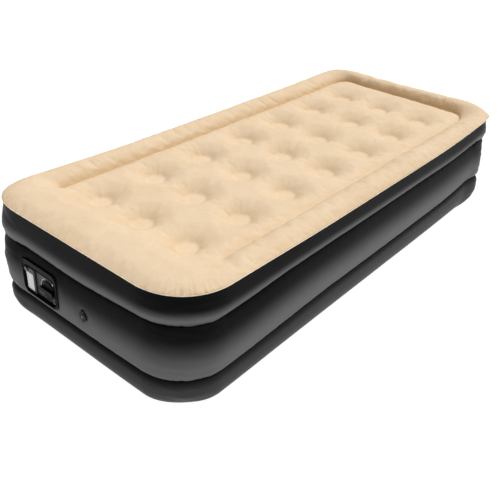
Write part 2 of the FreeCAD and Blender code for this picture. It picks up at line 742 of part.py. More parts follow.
def make_volute():
    """The impeller's spiral chamber: a cover with an eye and a side outlet, on a partition plate."""
    front = "face + 40"
    plate = "face + 66"
    shell = rod("volute_outside", "x", on_axis(front), 26, "volute_radius")
    hollow = rod("volute_inside", "x", on_axis(front + " + wall"), 30, "volute_radius - wall")
    eye = rod("volute_eye", "x", on_axis(front + " - 5"), 20, 17)
    outlet = block("volute_outlet", (front + " + 6", front + " + 22"), ("axis_side + 20", "axis_side + 60"),
                   ("axis_level + 8", "axis_level + 34"))
    subpart("volute_cover", cut("volute_cover_cut", shell, hollow, eye, outlet))
    across, up = inside("rim + 0.3")
    base = block("volute_plate", (plate, plate + " + wall"), (across[0] + " + 4", "tray_right - 4"),
                 (up[0] + " + 4", up[1] + " - 18"))
    bore = rod("volute_bore", "x", on_axis(plate + " - 5"), 20, "rotor_shaft_radius + 3")
    subpart("volute_base", cut("volute_base_cut", base, bore))


def make_motor():
    """The motor can with its two bearings, and the rotor that carries the impeller."""
    front = "face + 66 + wall"
    length = 52
    can = rod("can_outside", "x", on_axis(front), length, "motor_radius")
    hollow = rod("can_inside", "x", on_axis(front + " + 1.5"), length - 3, "motor_radius - 1.5")
    bore = rod("can_bore", "x", on_axis(front + " - 5"), length + 10, 6)
    subpart("motor_can", cut("motor_can_cut", can, hollow, bore))
    bearing = "rotor_shaft_radius + 0.06"
    subpart("motor_bearing_front", tube("motor_bearing_front", "x", on_axis(front), 5, 5.95, bearing))
    subpart("motor_bearing_rear", tube("motor_bearing_rear", "x", on_axis(front + " + %d - 5" % length), 5,
                                       5.95, bearing))
    subpart("motor_shaft", rod("motor_shaft", "x", on_axis("face + 58"), length + 9.5, "rotor_shaft_radius"))
    subpart("armature", tube("armature", "x", on_axis(front + " + 14"), 24, 18, "rotor_shaft_radius"))
    disc = rod("impeller_disc", "x", on_axis("face + 60"), 2, "impeller_radius")
    hub = rod("impeller_hub", "x", on_axis("face + 48"), 14, 5.5)
    doc.recompute()
    blades = []
    for number in range(int(value_of("blades"))):
        blade = doc.addObject("Part::Box", "blade_%d" % number)
        bind(blade, Length=12.5, Width="impeller_radius - 12", Height=1.6)
        angle = 360 / value_of("blades") * number
        turn = FreeCAD.Rotation(FreeCAD.Vector(1, 0, 0), angle)
        sweep = turn.multiply(FreeCAD.Rotation(FreeCAD.Vector(1, 0, 0), 24))
        root = turn.multVec(FreeCAD.Vector(0, 11, 0))
        blade.Placement = FreeCAD.Placement(FreeCAD.Vector(0, 0, 0), sweep)
        bind(blade, **{"Placement.Base.x": "face + 48", "Placement.Base.y": "axis_side + %.6f" % root.y,
                       "Placement.Base.z": "axis_level + %.6f" % root.z})
        blades.append(blade)
    wheel = join("impeller_join", disc, hub, *blades)
    subpart("impeller", cut("impeller_cut", wheel, rod("impeller_bore", "x", on_axis("face + 58"), 10,
                                                        "rotor_shaft_radius")))


def make_outlet_valve():
    """A spring-closed disc over the port through which the pump fills the bed."""
    top = "pump_level + pump_height / 2 - rim + wall - 0.3"
    spot = ("outlet_along", "outlet_side")
    ring = tube("outlet_ring", "z", (*spot, top + " - 6"), 6, "outlet_radius + 3.9", "outlet_radius")
    hub = rod("outlet_hub", "z", (*spot, top + " - 6"), 3, 6)
    arms = [block("outlet_arm_1", ("outlet_along - outlet_radius - 1", "outlet_along + outlet_radius + 1"),
                  ("outlet_side - 1.2", "outlet_side + 1.2"), (top + " - 6", top + " - 3")),
            block("outlet_arm_2", ("outlet_along - 1.2", "outlet_along + 1.2"),
                  ("outlet_side - outlet_radius - 1", "outlet_side + outlet_radius + 1"),
                  (top + " - 6", top + " - 3"))]
    bore = rod("outlet_bore", "z", (*spot, top + " - 10"), 20, 2.6)
    subpart("outlet_valve_seat", cut("outlet_seat_cut", join("outlet_seat_join", ring, hub, *arms), bore))
    disc = rod("outlet_disc", "z", (*spot, top + " + 0.3"), 2, "outlet_radius + 3")
    stem = rod("outlet_stem", "z", (*spot, top + " - 26"), 26.8, 2.4)
    collar = rod("outlet_collar", "z", (*spot, top + " - 28"), 2, 6.5)
    subpart("outlet_valve_disc", join("outlet_valve_disc", disc, stem, collar))
    helix = doc.addObject("Part::Helix", "spring_path")
    bind(helix, Pitch=3.6, Height=18, Radius=4.4)
    helix.Placement = FreeCAD.Placement()
    wire = doc.addObject("Part::Circle", "spring_wire")
    bind(wire, Radius=0.5)
    wire.Placement = FreeCAD.Placement(FreeCAD.Vector(4.4, 0, 0), FreeCAD.Rotation(FreeCAD.Vector(1, 0, 0), 90))
    spring = doc.addObject("Part::Sweep", "spring_sweep")
    spring.Sections = [wire]
    spring.Spine = (helix, [])
    spring.Solid = True
    spring.Frenet = True
    move(spring, *spot, top + " - 25.2")
    subpart("outlet_valve_spring", spring)


# ---------------------------------------------------------------- the manual valve

def at_valve(x, rise="0"):
    return (x, "valve_side", "valve_level + (%s)" % rise)


def make_manual_valve():
    """A wide valve for a hand pump, closed by a hinged cap with a plug."""
    skin_face = "-bed_length / 2 + band_inset"
    flange = rod("valve_flange", "x", at_valve(skin_face + " - 1.5"), 1.5, "valve_flange_radius")
    neck = rod("valve_neck_outside", "x", at_valve(skin_face), "valve_neck", "valve_bore + 2.4")
    bore = rod("valve_neck_bore", "x", at_valve(skin_face + " - 5"), "valve_neck + 10", "valve_bore")
    lugs = []
    for number, side in ((1, "-7.2"), (2, "4.4")):
        barrel = rod("cap_lug_%d" % number, "y", ("cap_hinge_front", "valve_side + " + side, "cap_hinge_level"),
                     2.8, 1.9)
        foot = block("cap_lug_foot_%d" % number, ("cap_hinge_front", skin_face + " - 0.5"),
                     ("valve_side + " + side, "valve_side + %s + 2.8" % side),
                     ("cap_hinge_level - 1.9", "cap_hinge_level + 1.9"))
        lugs += [barrel, foot]
    tongue = block("cap_lug_base", (skin_face + " - 1.5", skin_face), ("valve_side - 7.2", "valve_side + 7.2"),
                   ("valve_level + 14", "cap_hinge_level + 1.9"))
    pin = rod("cap_pin", "y", ("cap_hinge_front", "valve_side - 5", "cap_hinge_level"), 10, 0.8)
    seat = join("valve_seat_join", flange, neck, tongue, pin, *lugs)
    subpart("valve_seat", cut("valve_seat_cut", seat, bore))
    subpart("valve_flap", rod("valve_flap", "x", at_valve(skin_face + " + valve_neck"), 0.8, "valve_bore + 2"))
    lid = rod("cap_lid", "x", at_valve(skin_face + " - 4.8"), 3, "valve_flange_radius - 1")
    lid = softened("cap_lid_round", lid, 1.2, lambda edge: edge.BoundBox.XMax < value_of(skin_face) - 4)
    plug = taper("cap_plug", "x", at_valve(skin_face + " - 1.9"), 5.8, 8.9, 7.8)
    hollow = rod("cap_hollow", "x", at_valve(skin_face + " - 0.5"), 6, 6.2)
    strap = block("cap_strap", ("cap_hinge_front - 1.4", "cap_hinge_front + 1.2"),
                  ("valve_side - 4", "valve_side + 4"), ("valve_level + 12", "cap_hinge_level"))
    barrel = rod("cap_barrel", "y", ("cap_hinge_front", "valve_side - 4", "cap_hinge_level"), 8, 1.7)
    pin_hole = rod("cap_pin_hole", "y", ("cap_hinge_front", "valve_side - 6", "cap_hinge_level"), 12, 0.9)
    pull = rod("cap_pull", "x", ("-bed_length / 2 + band_inset - 4.6", "valve_side", "valve_level - 17"), 1.6, 4.5)
    cap = join("valve_cap_join", lid, plug, strap, barrel, pull)
    subpart("valve_cap", cut("valve_cap_cut", cap, hollow, pin_hole))


# ---------------------------------------------------------------- build, check and export

make_top_sheet()
make_upper_band()
make_middle_band()
make_lower_band()
subpart("bottom_sheet", make_flat_sheet("bottom_sheet", "bottom_lap", "0"))
make_deck("upper_deck", "upper_groove")
make_deck("lower_deck", "lower_groove")
make_coil_beams()
make_ties()
make_pump_frame()
make_housing()
make_face_plate()
make_cord_compartment()
make_door()
make_selector()
make_volute()
make_motor()
make_outlet_valve()
make_manual_valve()
doc.recompute()

for item in doc.Objects:
    if "Invalid" in item.State or "Error" in item.State:
        raise ValueError("%s failed: %s" % (item.Label, item.State))
for item in SUBPARTS:
    if item.Shape.isNull() or not item.Shape.isValid() or item.Shape.Volume < 1:
        raise ValueError("%s has no sound shape" % item.Label)

os.makedirs("parts", exist_ok=True)
for item in SUBPARTS:
    item.Shape.exportStep(os.path.join("parts", item.Label + ".step"))
    box = item.Shape.BoundBox
    print("%-22s solids %d volume %9.0f  x %8.1f %8.1f  y %7.1f %7.1f  z %6.1f %6.1f" % (
        item.Label, len(item.Shape.Solids), item.Shape.Volume,
        box.XMin, box.XMax, box.YMin, box.YMax, box.ZMin, box.ZMax))
print("%d sub-parts" % len(SUBPARTS))
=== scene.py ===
import json
import math

import bmesh
import bpy
from mathutils import Matrix, Vector, noise


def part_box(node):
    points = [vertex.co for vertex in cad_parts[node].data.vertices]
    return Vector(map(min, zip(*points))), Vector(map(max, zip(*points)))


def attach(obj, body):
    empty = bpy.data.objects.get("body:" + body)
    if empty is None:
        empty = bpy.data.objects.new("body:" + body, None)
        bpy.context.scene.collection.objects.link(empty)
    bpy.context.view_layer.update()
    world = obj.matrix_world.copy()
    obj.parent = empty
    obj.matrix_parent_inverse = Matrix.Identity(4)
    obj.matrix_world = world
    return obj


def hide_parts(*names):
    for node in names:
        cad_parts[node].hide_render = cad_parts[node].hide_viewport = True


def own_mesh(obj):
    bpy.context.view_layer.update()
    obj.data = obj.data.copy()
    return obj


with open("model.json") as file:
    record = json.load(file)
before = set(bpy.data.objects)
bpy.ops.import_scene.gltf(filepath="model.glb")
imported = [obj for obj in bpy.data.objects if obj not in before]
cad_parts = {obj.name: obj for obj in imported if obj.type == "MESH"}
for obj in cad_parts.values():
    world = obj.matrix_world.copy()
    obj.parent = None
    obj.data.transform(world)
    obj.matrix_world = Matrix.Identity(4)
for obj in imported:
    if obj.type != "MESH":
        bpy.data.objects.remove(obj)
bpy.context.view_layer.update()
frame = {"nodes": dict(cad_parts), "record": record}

# ---------------------------------------------------------------- the bed's leading sizes, in metres

top_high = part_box("top_sheet")[1]
band_low, band_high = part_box("upper_band")
middle_low, middle_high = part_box("middle_band")
foot_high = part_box("lower_band")[1]

HALF_LENGTH = top_high.x
HALF_WIDTH = top_high.y
CORNER = 0.185
SEAM = band_high.z
CREST = top_high.z
UPPER_GROOVE = (band_low.z + middle_high.z) / 2
LOWER_GROOVE = (middle_low.z + foot_high.z) / 2
GROOVE_DEPTH = 0.0250
GROOVE_GAP = 0.0008
SKIN = 0.0012

ROUND_COLUMNS = 680   # mesh columns round the whole bed
SAME_PLACE = 1e-5     # points nearer than this are merged

# the rim's tube, and how far the tight sheet draws it in at the foot end and on the panel side
RIM_WIDTH = 0.116
FAR_DRAW = 0.020
SLACK_DRAW = 0.018

# the field inside the rim and the weld discs in it, in three rows of seven columns
FIELD = 0.439
FIRST_COLUMN = -0.734
LAST_COLUMN = 6
COLUMN_PITCH = 0.240
ROW_SHIFT = -0.008
ROW_PITCH = 0.196
DISC_RADIUS = 0.034
BOWL_RADIUS = 0.116
DISC_LEVEL = 0.4120

ALONG = 2 * (HALF_LENGTH - CORNER)
ACROSS = 2 * (HALF_WIDTH - CORNER)
ARC = math.pi / 2 * CORNER
ROUND = 2 * ALONG + 2 * ACROSS + 4 * ARC


def smooth(low, high, value):
    """Rise from 0 to 1 between low and high with level ends."""
    share = min(1, max(0, (value - low) / (high - low)))
    return share * share * (3 - 2 * share)


def mix(first, second, share):
    return first + (second - first) * share


def wave(*coordinates):
    """Smooth noise between about -1 and 1."""
    spot = list(coordinates) + [0.0] * (3 - len(coordinates))
    return noise.noise(Vector(spot))


# ---------------------------------------------------------------- walking round the bed

def walk(distance):
    """Plan point and outward direction at a distance round the widest outline."""
    rest = (distance + ACROSS / 2) % ROUND
    for quarter in range(4):
        straight = (ACROSS, ALONG)[quarter % 2]
        reach = (HALF_LENGTH, HALF_WIDTH)[quarter % 2]
        angle = quarter * math.pi / 2
        out = Vector((math.cos(angle), math.sin(angle), 0))
        side = Vector((-out.y, out.x, 0))
        if rest < straight:
            return out * reach + side * (rest - straight / 2), out
        rest -= straight
        if rest < ARC:
            angle += rest / CORNER
            turn = Vector((math.cos(angle), math.sin(angle), 0))
            return out * (reach - CORNER) + side * (straight / 2) + turn * CORNER, turn
        rest -= ARC
    return walk(0)


def meet(distance):
    """0 where the walk round the bed ends where it began, 1 away from there, so that noise has no step."""
    return smooth(0, 0.06, min(distance, ROUND - distance))


def place_round(x, y):
    """Distance round the outline of the nearest edge point."""
    inner_x = HALF_LENGTH - CORNER
    inner_y = HALF_WIDTH - CORNER
    gap_x = abs(x) - inner_x
    gap_y = abs(y) - inner_y
    long_side_middle = ACROSS / 2 + ARC + ALONG / 2
    if gap_x > 0 and gap_y > 0:
        corner = ACROSS / 2 + CORNER * math.atan2(gap_y, gap_x)
        if x < 0 < y:
            corner = ROUND / 2 - corner
        elif x < 0:
            corner = ROUND / 2 + corner
        elif y < 0:
            corner = ROUND - corner
        return corner % ROUND
    if HALF_LENGTH - abs(x) < HALF_WIDTH - abs(y):
        return (y if x > 0 else ROUND / 2 - y) % ROUND
    return long_side_middle - x if y > 0 else ROUND / 2 + long_side_middle + x


def edge_inset(x, y):
    """How far a plan point lies inside the widest outline."""
    gap_x = abs(x) - (HALF_LENGTH - CORNER)
    gap_y = abs(y) - (HALF_WIDTH - CORNER)
    if gap_x > 0 and gap_y > 0:
        return CORNER - math.hypot(gap_x, gap_y)
    return min(HALF_LENGTH - abs(x), HALF_WIDTH - abs(y))


def corner_share(x, y):
    """1 at the middle of a rounded corner, falling to 0 along the straights."""
    gap_x = abs(x) - (HALF_LENGTH - CORNER)
    gap_y = abs(y) - (HALF_WIDTH - CORNER)
    if gap_x < 0 or gap_y < 0:
        return 0.0
    angle = math.atan2(gap_y, gap_x)
    return math.sin(2 * angle) ** 0.7


def fill_corner(place):
    """Push a point out along its corner: air fills the near pump corner least."""
    gap_x = abs(place.x) - (HALF_LENGTH - CORNER)
    gap_y = abs(place.y) - (HALF_WIDTH - CORNER)
    if gap_x <= 0 or gap_y <= 0:
        return place
    away = math.hypot(gap_x, gap_y)
    share = (2 * gap_x * gap_y / away ** 2) ** 2 * min(1, away / CORNER) ** 2
    if place.x < 0 and place.y < 0:
        reach = 0.002 - 0.018 * (1 - smooth(0.0, 0.12, place.z))
    elif place.x > 0 and place.y < 0:
        high = 0.025 * (1 - smooth(0.36, 0.44, place.z))
        reach = 0.005 + high + 0.026 * (1 - smooth(0.10, 0.36, place.z))
    else:
        reach = 0.012 + 0.024 * (1 - smooth(0.30, 0.43, place.z))
    x = place.x + math.copysign(gap_x / away, place.x) * reach * share
    y = place.y + math.copysign(gap_y / away, place.y) * reach * share
    return Vector((x, y, place.z))


def draw_side(place):
    """Draw the top of the panel side's long edge in a little, as the tight top sheet does."""
    along = 1 - abs(place.x / HALF_LENGTH) ** 4
    share = along * smooth(0.22, 0.40, place.y) * smooth(0.33, 0.42, place.z)
    return Vector((place.x, place.y - SLACK_DRAW * share, place.z))


def settle(place):
    """Where a point of the ideal outline ends up on the full bed."""
    return draw_side(fill_corner(place))


def hump(place, x, y, reach):
    """1 at a plan point, fading to 0 over a distance round it."""
    return math.exp(-((place.x - x) ** 2 + (place.y - y) ** 2) / reach ** 2)


def seam_lift(place):
    """How far the top seam strays from its level."""
    return 0.028 * hump(place, 0.97, -0.42, 0.32) + 0.010 * (1 - smooth(-0.95, -0.30, place.x))


def upper_lift(place):
    """How far the upper weld strays from its level."""
    near = 0.024 * hump(place, -0.93, -0.38, 0.20) - 0.006 * hump(place, -0.97, 0.02, 0.12)
    along = 0.028 * (abs(place.y) / HALF_WIDTH) ** 8 * smooth(-0.90, -0.50, place.x)
    return near + along + 0.026 * hump(place, 0.96, -0.42, 0.26)


def lower_lift(place):
    """How far the lower weld strays from its level: it climbs along the long sides."""
    side = abs(place.y) / HALF_WIDTH
    along = 0.024 * side ** 8 * smooth(-0.90, -0.25, place.x)
    return along + 0.010 * hump(place, -0.93, -0.38, 0.22) + 0.036 * hump(place, 0.96, -0.42, 0.24)


# ---------------------------------------------------------------- mesh helpers

def finish_piece(name, bm, body="bed", smooth_faces=True):
    """Turn a finished bmesh into a piece that rides on a body."""
    bmesh.ops.recalc_face_normals(bm, faces=bm.faces)
    data = bpy.data.meshes.new(name)
    for face in bm.faces:
        face.smooth = smooth_faces
    bm.to_mesh(data)
    bm.free()
    piece = bpy.data.objects.new(name, data)
    bpy.context.scene.collection.objects.link(piece)
    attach(piece, body)
    return piece


def dressed(piece, finish):
    """Give a piece its finish."""
    piece.data.materials.clear()
    piece.data.materials.append(finish)
    return piece


def apply_modifiers(piece):
    """Bake the live modifiers into the mesh."""
    bpy.context.view_layer.update()
    graph = bpy.context.evaluated_depsgraph_get()
    data = bpy.data.meshes.new_from_object(piece.evaluated_get(graph))
    piece.modifiers.clear()
    piece.data = data
    return piece


def thicken(piece):
    """Give a skin its wall, inwards."""
    wall = piece.modifiers.new("skin", "SOLIDIFY")
    wall.thickness = SKIN
    wall.offset = -1
    return piece


def grid_sheet(columns, rows):
    """A flat unit sheet from (0, 0) to (1, 1) to be wrapped or draped."""
    bm = bmesh.new()
    bmesh.ops.create_grid(bm, x_segments=columns, y_segments=rows, size=0.5)
    bmesh.ops.translate(bm, verts=bm.verts, vec=(0.5, 0.5, 0))
    return bm


# ---------------------------------------------------------------- the flocked top

RIM_LINES = 15


def spread(share, half, lines):
    """Space grid lines so that one falls exactly on the rim's inner crease."""
    number = share * lines
    pitch = (2 * half - 2 * RIM_WIDTH) / (lines - 2 * RIM_LINES)
    if number <= RIM_LINES:
        return -half + number * RIM_WIDTH / RIM_LINES
    if number >= lines - RIM_LINES:
        return half - (lines - number) * RIM_WIDTH / RIM_LINES
    return -half + RIM_WIDTH + (number - RIM_LINES) * pitch


def bend_corner(p, q, inset):
    """Move a point of the square grid onto the rounded outline of the same inset."""
    radius = CORNER - inset
    if radius <= 0:
        return p, q
    side_x = HALF_LENGTH - inset
    side_y = HALF_WIDTH - inset
    to_x = side_x - abs(p)
    to_y = side_y - abs(q)
    away = max(to_x, to_y)
    if away >= radius:
        return p, q
    turn = math.pi / 4 * (1 - away / radius)
    if to_x > to_y:
        turn = math.pi / 2 - turn
    x = side_x - radius + radius * math.cos(turn)
    y = side_y - radius + radius * math.sin(turn)
    return math.copysign(x, p), math.copysign(y, q)


def crease_share(x, y):
    """How sharply the rim is parted from the field: none at the pump end, full elsewhere."""
    start = mix(-0.745, -0.815, smooth(-0.2, 0.2, y))
    return smooth(start - 0.02, start + 0.04, x)


def dip(away, edge):
    """Fall of a tight skin from its weld disc outwards: 1 on the disc, 0 at the edge."""
    if away <= DISC_RADIUS:
        return 1.0
    if away >= edge:
        return 0.0
    whole = edge ** 2 * math.log(edge / DISC_RADIUS) - (edge ** 2 - DISC_RADIUS ** 2) / 2
    here = edge ** 2 * math.log(away / DISC_RADIUS) - (away ** 2 - DISC_RADIUS ** 2) / 2
    return 1 - here / whole


def nearest_disc(x, y):
    """Column and row of the nearest weld disc, and the way to a plan point from its middle."""
    column = min(LAST_COLUMN, max(0, round((x - FIRST_COLUMN) / COLUMN_PITCH)))
    row = min(1, max(-1, round((y - ROW_SHIFT) / ROW_PITCH)))
    return column, row, x - FIRST_COLUMN - column * COLUMN_PITCH, y - ROW_SHIFT - row * ROW_PITCH


def bowl(x, y):
    """How far the weld discs pull the field down at a point, from 0 to 1."""
    first = min(LAST_COLUMN - 1, max(0, math.floor((x - FIRST_COLUMN) / COLUMN_PITCH)))
    lower = -1 if y < ROW_SHIFT else 0
    left = 1.0
    for column in (first, first + 1):
        for row in (lower, lower + 1):
            middle_x = FIRST_COLUMN + column * COLUMN_PITCH
            middle_y = ROW_SHIFT + row * ROW_PITCH
            away = math.hypot(x - middle_x, y - middle_y)
            edge = BOWL_RADIUS * (1 + 0.08 * wave(x * 8, y * 8, column + 4.3 * row))
            left *= 1 - dip(away, edge)
    return 1 - left


def top_point(p, q):
    """Where a grid point of the top sheet lies once the bed is full of air."""
    inset = min(HALF_LENGTH - abs(p), HALF_WIDTH - abs(q))
    ring = min(1, inset / RIM_WIDTH)
    turn = math.pi * ring
    x, y = bend_corner(p, q, inset)
    foot_end = smooth(0.80, 0.95, x)
    crest = mix(0.458, CREST - 0.003, foot_end)
    crease = mix(0.427, 0.438, foot_end)
    lean = smooth(0, 0.8, ring)
    rim_inset = RIM_WIDTH * mix(ring, (1 - math.cos(turn)) / 2, lean)
    base = mix(SEAM, crease, rim_inset / RIM_WIDTH)
    rim_level = base + (crest - (SEAM + crease) / 2) * math.sin(turn) ** mix(1.0, 0.9, foot_end)
    dome_inset = RIM_WIDTH * mix(ring, 1 - math.cos(turn / 2), 0.5 + 0.5 * lean)
    dome_level = SEAM + 0.025 * math.sin(turn / 2)
    if inset >= RIM_WIDTH:
        rim_inset = inset
        dome_inset = inset
        shoulder = smooth(0, 0.050, inset - RIM_WIDTH)
        rim_level = mix(crease, FIELD + 0.006 * foot_end, math.sqrt(1 - (1 - shoulder) ** 2))
    sharp = crease_share(x, y)
    final_inset = mix(dome_inset, rim_inset, sharp)
    if inset < RIM_WIDTH:
        point, out = walk(place_round(x, y))
        x = point.x - out.x * final_inset
        y = point.y - out.y * final_inset
    dome_level -= (SEAM + 0.025 - FIELD) * smooth(-0.88, -0.74, x) * smooth(0.02, 0.16, inset)
    level = mix(dome_level, rim_level, sharp)
    pull = bowl(x, y) * smooth(RIM_WIDTH, RIM_WIDTH + 0.02, inset)
    level = mix(level, DISC_LEVEL, pull)
    ripple = 0.0020 * wave(x * 7, y * 7, 3.1) + 0.0011 * wave(x * 19, y * 19, 8.4)
    level += ripple * smooth(0, 0.05, inset) * (1 - pull)
    place = settle(Vector((x, y, level)))
    place.z += seam_lift(place) * math.exp(-final_inset / 0.05)
    place.x += FAR_DRAW * smooth(0.80, 0.884, place.x) * (1 - smooth(0.884, 0.942, place.x))
    return place


def make_top():
    """The flocked sheet over the rim, the field and its dips, before the air goes in."""
    lines_along = 250
    lines_across = 116
    bm = grid_sheet(lines_along, lines_across)
    creases = bm.edges.layers.float.new("crease_edge")
    rings = bm.verts.layers.float.new("ring")
    for vert in bm.verts:
        p = spread(vert.co.x, HALF_LENGTH, lines_along)
        q = spread(vert.co.y, HALF_WIDTH, lines_across)
        vert.co = Vector((p, q, 0))
        vert[rings] = min(HALF_LENGTH - abs(p), HALF_WIDTH - abs(q)) / RIM_WIDTH
    for edge in bm.edges:
        middle = (edge.verts[0].co + edge.verts[1].co) / 2
        inset = min(HALF_LENGTH - abs(middle.x), HALF_WIDTH - abs(middle.y))
        if abs(inset - RIM_WIDTH) < 1e-4:
            edge[creases] = 0.8 * crease_share(middle.x, middle.y)
    for vert in bm.verts:
        vert.co = top_point(vert.co.x, vert.co.y)
    piece = finish_piece("sleeping_top", bm)
    if piece.data.polygons[0].normal.z < 0:
        piece.data.flip_normals()
    return piece


def refine_top(piece):
    """Smooth the top once more and add the fine gathers along its seams and welds."""
    finer = piece.modifiers.new("finer", "SUBSURF")
    finer.levels = 1
    finer.render_levels = 1
    apply_modifiers(piece)
    data = piece.data
    normals = [n.vector.copy() for n in data.vertex_normals]
    for vert, normal in zip(data.vertices, normals):
        x, y, z = vert.co
        distance = place_round(x, y)
        inset = edge_inset(x, y)
        corner = corner_share(x, y)
        gather = wave(distance * 95, inset * 12, 1.7) + 0.5 * wave(distance * 190, inset * 25, 5.2)
        by_seam = math.exp(-max(0, inset) / 0.028) * smooth(SEAM - 0.002, SEAM + 0.004, z)
        size = 0.0015 * (0.40 + 1.5 * corner) * by_seam
        fold = 0.0016 * ring_folds(distance, inset) * crease_share(x, y)
        pucker = disc_puckers(x, y)
        vert.co += normal * ((gather * size + fold) * meet(distance) + pucker)
    return piece


def blow_up(piece, held, pressure, slack, reach, frames, stiffness=18):
    """Fill a skin with air by cloth simulation, holding its welds and capping how far it strays."""
    start = [vert.co.copy() for vert in piece.data.vertices]
    rings = [spot.value for spot in piece.data.attributes["ring"].data]
    group = piece.vertex_groups.new(name="held")
    for vert, ring in zip(piece.data.vertices, rings):
        weight = held(vert.co.x, vert.co.y, ring)
        if weight > 0:
            group.add([vert.index], weight, "REPLACE")
    scene = bpy.context.scene
    scene.frame_start = 1
    scene.frame_end = frames
    scene.frame_set(1)
    skin = piece.modifiers.new("air", "CLOTH")
    skin.settings.quality = 5
    skin.settings.mass = 0.25
    skin.settings.tension_stiffness = stiffness
    skin.settings.compression_stiffness = stiffness
    skin.settings.shear_stiffness = stiffness / 2
    skin.settings.bending_stiffness = 0.02
    skin.settings.tension_damping = 12
    skin.settings.compression_damping = 12
    skin.settings.shear_damping = 12
    skin.settings.air_damping = 4
    skin.settings.use_pressure = True
    skin.settings.uniform_pressure_force = pressure
    skin.settings.shrink_min = -slack
    skin.settings.shrink_max = -slack
    skin.settings.vertex_group_mass = "held"
    skin.settings.effector_weights.gravity = 0
    skin.collision_settings.use_collision = False
    skin.point_cache.frame_start = 1
    skin.point_cache.frame_end = frames
    for frame_number in range(1, frames + 1):
        scene.frame_set(frame_number)
    apply_modifiers(piece)
    scene.frame_set(1)
    for vert, before in zip(piece.data.vertices, start):
        move = vert.co - before
        if move.length > reach:
            move = move.normalized() * reach
        vert.co = before + move
    piece.vertex_groups.clear()
    return piece


def top_held(x, y, ring):
    """Where the top sheet is welded: its seam, the rim's crease and the discs."""
    if ring < 0.04:
        return 1.0
    crease = crease_share(x, y) * (1 - smooth(0.02, 0.05, abs(ring - 1)))
    column, row, dx, dy = nearest_disc(x, y)
    away = math.hypot(dx, dy)
    return max(crease, 1.0 if away < DISC_RADIUS else 0.0)


def ring_folds(distance, inset):
    """Small folds that run across the rim's tube where it is pulled along its crease."""
    inside = math.exp(-((inset - 0.085) / 0.03) ** 2)
    patches = smooth(0.05, 0.45, wave(distance * 4.2, 7.7))
    return inside * (0.35 + patches) * wave(distance * 60 + inset * 14, inset * 9, 2.9)


def disc_puckers(x, y):
    """Fine gathers that fan out from each weld disc."""
    column, row, dx, dy = nearest_disc(x, y)
    away = math.hypot(dx, dy)
    start = DISC_RADIUS * 0.9
    end = BOWL_RADIUS - 0.001
    if away < start or away > end:
        return 0.0
    angle = math.atan2(dy, dx)
    fan = wave(math.cos(angle) * 5.5, math.sin(angle) * 5.5, column * 3.1 + row * 7.3)
    reach = smooth(start, DISC_RADIUS * 1.1, away) * (1 - smooth(0.06, end, away))
    return 0.0012 * fan * reach


# ---------------------------------------------------------------- the banded sides

def bulge(share, high, low, high_inset, low_inset, flat_inset, high_curl, low_curl):
    """Inset and level of a swelling band at a share of the way from its high to its low edge."""
    level = mix(high, low, share)
    near_high = min(1, (high - level) / high_curl)
    near_low = min(1, (level - low) / low_curl)
    up = math.sqrt(1 - (1 - near_high) ** 2)
    down = math.sqrt(1 - (1 - near_low) ** 2)
    inset = flat_inset + (high_inset - flat_inset) * (1 - up) + (low_inset - flat_inset) * (1 - down)
    return inset, level


def ease(share):
    """Crowd the rows towards both edges of a band, where it curls."""
    return (1 - math.cos(math.pi * share)) / 2


def upper_profile(share):
    """The shoulder band: round, from the seam down into the upper weld."""
    inset, level = bulge(share, SEAM, UPPER_GROOVE + GROOVE_GAP, 0.0015, GROOVE_DEPTH, 0.0, 0.060, 0.060)
    return inset - 0.003 * math.sin(math.pi * share) ** 2, level


def middle_profile(share):
    """The waist band: drawn slowly out of the upper weld, and sharply into the lower."""
    inset, level = bulge(share, UPPER_GROOVE - GROOVE_GAP, LOWER_GROOVE + GROOVE_GAP, GROOVE_DEPTH,
                         GROOVE_DEPTH, 0.008, 0.080, 0.026)
    return inset - 0.0040 * math.sin(math.pi * share) ** 1.5, level


def lower_profile(share):
    """The foot band: sharply out of the lower weld, then rolling under to the floor."""
    inset, level = bulge(share, LOWER_GROOVE - GROOVE_GAP, 0.0, GROOVE_DEPTH, 0.080, 0.008, 0.018, 0.086)
    return inset - 0.002 * math.sin(math.pi * share) ** 2, level


UNWELDED = 1.0


def gathers(distance, away_high, away_low, corner):
    """Depth of the small puckers where a band is drawn into its welds; UNWELDED edges have none."""
    high = wave(distance * 55, 3.3) + 0.6 * wave(distance * 120, 9.1)
    low = wave(distance * 48, 6.6) + 0.6 * wave(distance * 110, 1.4)
    size = 0.0011 + 0.0022 * corner
    return size * (high * math.exp(-away_high / 0.016) + low * math.exp(-away_low / 0.018))


def slack(distance, level):
    """The slow unevenness of the vinyl and a few diagonal drags round the corners."""
    point, out = walk(distance)
    corner = corner_share(point.x, point.y)
    slow = 0.0016 * wave(distance * 3.1, level * 9, 4.4)
    drag = 0.0022 * corner * wave(distance * 16 + level * 30, level * 55, 7.9)
    return slow + drag


def painted_sheen_share(name, share):
    """How much painted sheen each band gets: a paler haze painted in for the bright floor's reflection,
    from the weld above down.
    """
    if name == "shoulder_band":
        return 0.95 * smooth(0.42, 0.84, share) * (1 - 0.7 * smooth(0.88, 1.0, share))
    if name == "waist_band":
        return 1.05 * smooth(0.20, 0.86, share)
    return 0.14 + 0.20 * smooth(0.0, 0.35, share)


def level_foot(place):
    """The foot lies flat on the floor, so its edge has no lift."""
    return 0.0


